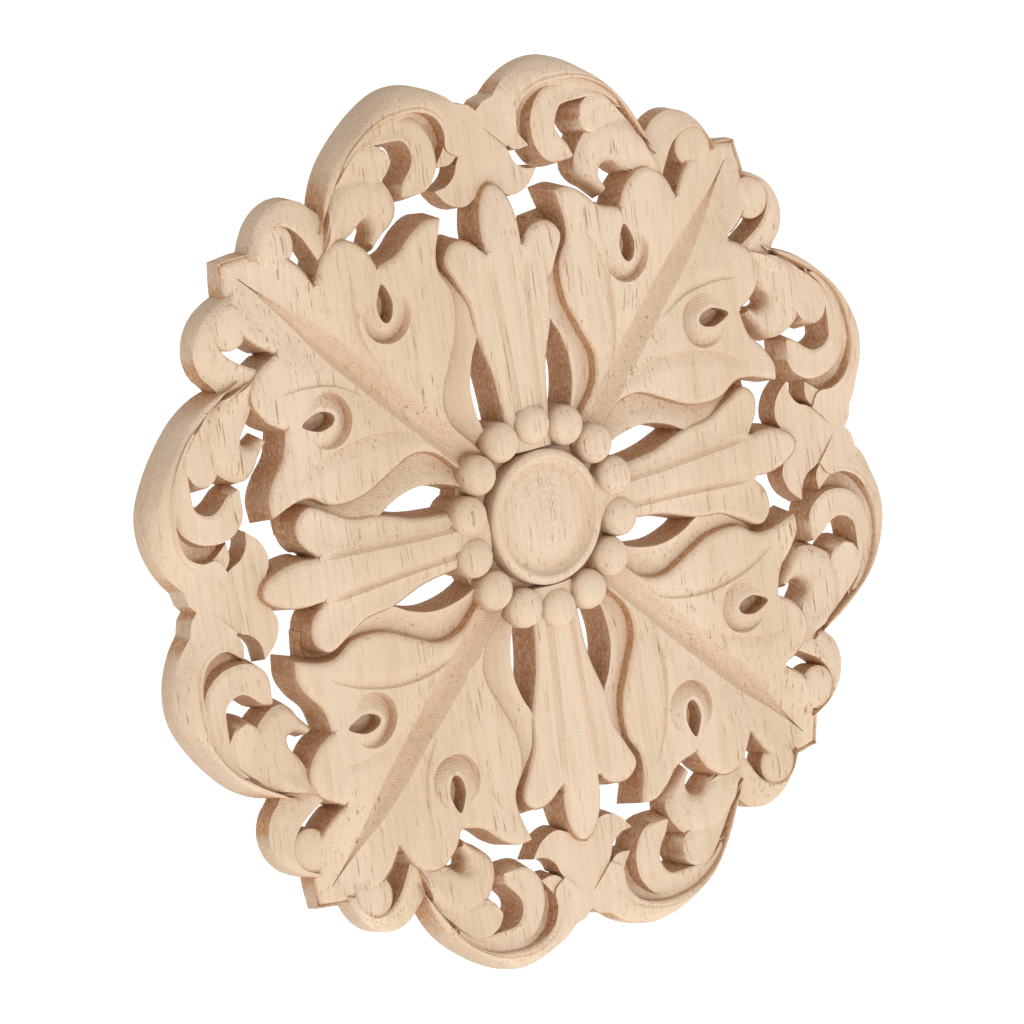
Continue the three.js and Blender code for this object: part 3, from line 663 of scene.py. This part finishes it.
def rubberwood():
    """Raw pale rubberwood. Cutting across its coarse, open vessels leaves short brown dashes along the
    grain, the ball-nose cutter leaves rows of fine lines, and torn fibres make the walls fuzzy. The walls are
    tinted browner, partly for the torn fibres and partly as painted shade, and the deep walls and lowest
    floors of the openings get an orange-brown painted shade, speckled like fibres."""
    made = bpy.data.materials.new("rubberwood, carved and unfinished")
    made.use_nodes = True
    tree = made.node_tree
    shader = tree.nodes["Principled BSDF"]
    shader.inputs["Roughness"].default_value = 0.68
    shader.inputs["IOR"].default_value = 1.5
    place = node(tree, "ShaderNodeTexCoord").outputs
    # The normal's Y is -1 on a face that looks straight out of the board and 1 on the back. The
    # position's Y is minus the height. Their dot product nears the radius on the outermost walls.
    read = {
        "facing": node(tree, "ShaderNodeSeparateXYZ", {"Vector": place["Normal"]}).outputs["Y"],
        "depth": node(tree, "ShaderNodeSeparateXYZ", {"Vector": place["Object"]}).outputs["Y"],
        "outward": node(tree, "ShaderNodeVectorMath", {0: place["Normal"], 1: place["Object"]},
                        operation="DOT_PRODUCT").outputs["Value"],
    }

    # Repeats per metre in X, Y and Z, then detail and roughness. The grain runs along Z. Boards and zones
    # are broad tints, vessels are dashes about 0.2 mm wide and a few millimetres long.
    noises = {
        "boards": ((55, 55, 5), 3.0, 0.5),
        "fibres": ((1400, 1400, 45), 4.0, 0.5),
        "vessels": ((3000, 3000, 120), 2.0, 0.5),
        "zones": ((120, 120, 14), 2.0, 0.5),
        "fuzz": ((2300, 2300, 1300), 5.0, 0.7),
    }
    for name, (per_metre, detail, roughness) in noises.items():
        spot = node(tree, "ShaderNodeMapping", {"Vector": place["Object"], "Scale": per_metre})
        inputs = {"Vector": spot.outputs[0], "Scale": 1.0, "Detail": detail, "Roughness": roughness}
        read[name] = node(tree, "ShaderNodeTexNoise", inputs).outputs["Fac"]
    # Tool lines 0.45 mm apart run level across the board, each pass a little uneven.
    lines = {"Vector": place["Object"], "Scale": 700.0, "Distortion": 3.5, "Detail": 2.0, "Detail Scale": 1.5}
    read["passes"] = node(tree, "ShaderNodeTexWave", lines, wave_type="BANDS",
                          bands_direction="Z").outputs["Fac"]

    # Shares that change smoothly while what they read goes from one value to another: the source, the two
    # values, and the share at each. "inside" keeps the painted shade of the openings off the outer rim, so
    # the rim stays greyer than the walls of the openings.
    ranges = {
        "not back": ("facing", 0.3, 0.6, 1.0, 0.0),
        "edge": ("facing", -0.6, -0.1, 0.0, 1.0),
        # Where the painted shade of the recesses goes: low on the walls and on the lowest floors.
        "below top": ("depth", -0.0068, -0.0042, 0.0, 1.0),
        "low floor": ("depth", -0.003, -0.0016, 0.0, 1.0),
        "inside": ("outward", 0.05, 0.062, 1.0, 0.0),
        "vessel": ("vessels", 0.6, 0.7, 0.0, 1.0),
        "vessel zone": ("zones", 0.38, 0.62, 0.25, 1.0),
        "board tint": ("boards", 0.35, 0.65, 0.0, 1.0),
        "fibre tint": ("fibres", 0.42, 0.72, 0.0, 0.3),
        "wall fuzz": ("fuzz", 0.3, 0.7, 0.35, 0.75),
        "deep fuzz": ("fuzz", 0.36, 0.64, 0.25, 0.95),
    }
    for name, (source, low, high, to_low, to_high) in ranges.items():
        inputs = {"Value": read[source], "From Min": low, "From Max": high, "To Min": to_low,
                  "To Max": to_high}
        read[name] = node(tree, "ShaderNodeMapRange", inputs, interpolation_type="SMOOTHSTEP").outputs[0]

    # The lower part of the walls and the lowest floors are "deep" and get the painted shade of the recesses,
    # speckled like torn fibres. The surface's height adds up tool lines, fuzz and fibres, and the dashes sink
    # in.
    sums = (
        ("wall", "MULTIPLY", "edge", "not back"),
        ("low wall", "MULTIPLY", "wall", "below top"),
        ("low", "MAXIMUM", "low wall", "low floor"),
        ("deep", "MULTIPLY", "low", "not back"),
        ("dashes", "MULTIPLY", "vessel", "vessel zone"),
        ("dash tint", "MULTIPLY", "dashes", 0.8),
        # Steep walls are tinted browner, partly for torn fibres and partly as painted shade.
        ("wall fibre and painted shade tint", "MULTIPLY", "wall", "wall fuzz"),
        # Painted shade, with a fibre speckle, on the deep parts inside the openings.
        ("deep inside", "MULTIPLY", "deep", "inside"),
        ("deep fibre and painted shade tint", "MULTIPLY", "deep inside", "deep fuzz"),
        ("half passes", "MULTIPLY", "passes", 0.5),
        ("pass weight", "MULTIPLY_ADD", "wall", -0.6, 1.0),
        ("lined", "MULTIPLY", "half passes", "pass weight"),
        ("fuzz weight", "MULTIPLY_ADD", "wall", 2.6, 0.5),
        ("fuzzed", "MULTIPLY_ADD", "fuzz", "fuzz weight", "lined"),
        ("fibred", "MULTIPLY_ADD", "fibres", 0.3, "fuzzed"),
        ("height", "MULTIPLY_ADD", "dashes", -0.5, "fibred"),
    )
    for name, operation, *terms in sums:
        inputs = {i: read.get(term, term) for i, term in enumerate(terms)}
        read[name] = node(tree, "ShaderNodeMath", inputs, operation=operation).outputs[0]

    # The grain's own tints, then the walls' tint (torn fibres and painted shade), then the orange-brown
    # painted shade of the deep parts.
    layers = (("board tint", "#e6cdb2"), ("fibre tint", "#c9a684"), ("dash tint", "#a06c42"),
              ("wall fibre and painted shade tint", "#b99c80"), ("deep fibre and painted shade tint", "#b0702f"))
    colour = linear("#dec3a5")
    for tint, code in layers:
        colour = node(tree, "ShaderNodeMix", {0: read[tint], 6: colour, 7: linear(code)},
                      data_type="RGBA", blend_type="MIX").outputs[2]
    tree.links.new(colour, shader.inputs["Base Color"])
    bump = node(tree, "ShaderNodeBump", {"Height": read["height"], "Strength": 0.55, "Distance": 0.00012})
    tree.links.new(bump.outputs[0], shader.inputs["Normal"])
    return made


def add_camera():
    """The photograph's camera, found by fitting the rosette's four-fold outline to it."""
    lens = bpy.data.cameras.new("camera")
    lens.sensor_width = 36
    lens.lens = 183.5
    lens.clip_start, lens.clip_end = 0.01, 20
    right = (0.79097, -0.59487, -0.14316)
    up = (0.22670, 0.06760, 0.97162)
    back = (-0.56831, -0.80097, 0.18833)
    placed = Matrix((right, up, back)).transposed().to_4x4()
    placed.translation = (-0.48522, -0.68139, 0.16092)
    camera = bpy.data.objects.new("camera", lens)
    scene.collection.objects.link(camera)
    scene.camera = camera
    camera.matrix_world = placed


def add_light():
    """A white surround, and one soft lamp from the left that looks at the rosette."""
    world = bpy.data.worlds.new("studio")
    scene.world = world
    world.use_nodes = True
    backdrop = world.node_tree.nodes["Background"]
    backdrop.inputs["Color"].default_value = (1, 1, 1, 1)
    backdrop.inputs["Strength"].default_value = 0.76
    lamp = bpy.data.lights.new("key", "AREA")
    lamp.energy = 2.4
    lamp.size = 0.2
    made = bpy.data.objects.new("key", lamp)
    scene.collection.objects.link(made)
    made.location = (-0.25, -0.85, -0.35)
    made.rotation_euler = (-made.location).to_track_quat("-Z", "Y").to_euler()


def pale_floor():
    """A wide pale sheet well below the rosette, lit a little from within so that it stays white."""
    bm = bmesh.new()
    bmesh.ops.create_grid(bm, x_segments=1, y_segments=1, size=6)
    bmesh.ops.translate(bm, verts=bm.verts, vec=(0, 0, -0.35))
    mesh = bpy.data.meshes.new("floor")
    bm.to_mesh(mesh)
    bm.free()
    paper = bpy.data.materials.new("pale floor")
    paper.use_nodes = True
    paint = paper.node_tree.nodes["Principled BSDF"]
    paint.inputs["Base Color"].default_value = (0.9, 0.9, 0.9, 1)
    paint.inputs["Emission Color"].default_value = (1, 1, 1, 1)
    paint.inputs["Emission Strength"].default_value = 0.5
    mesh.materials.append(paper)
    made = bpy.data.objects.new("floor", mesh)
    scene.collection.objects.link(made)
    return made


scene = bpy.context.scene
scene.view_settings.view_transform = "Standard"
body = rosette()
mesh = upright(body)
mesh.materials.clear()
mesh.materials.append(rubberwood())
body.name = mesh.name = "carved_rosette"
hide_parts("rosette")
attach(body, "root")
add_camera()
add_light()
floor = pale_floor()
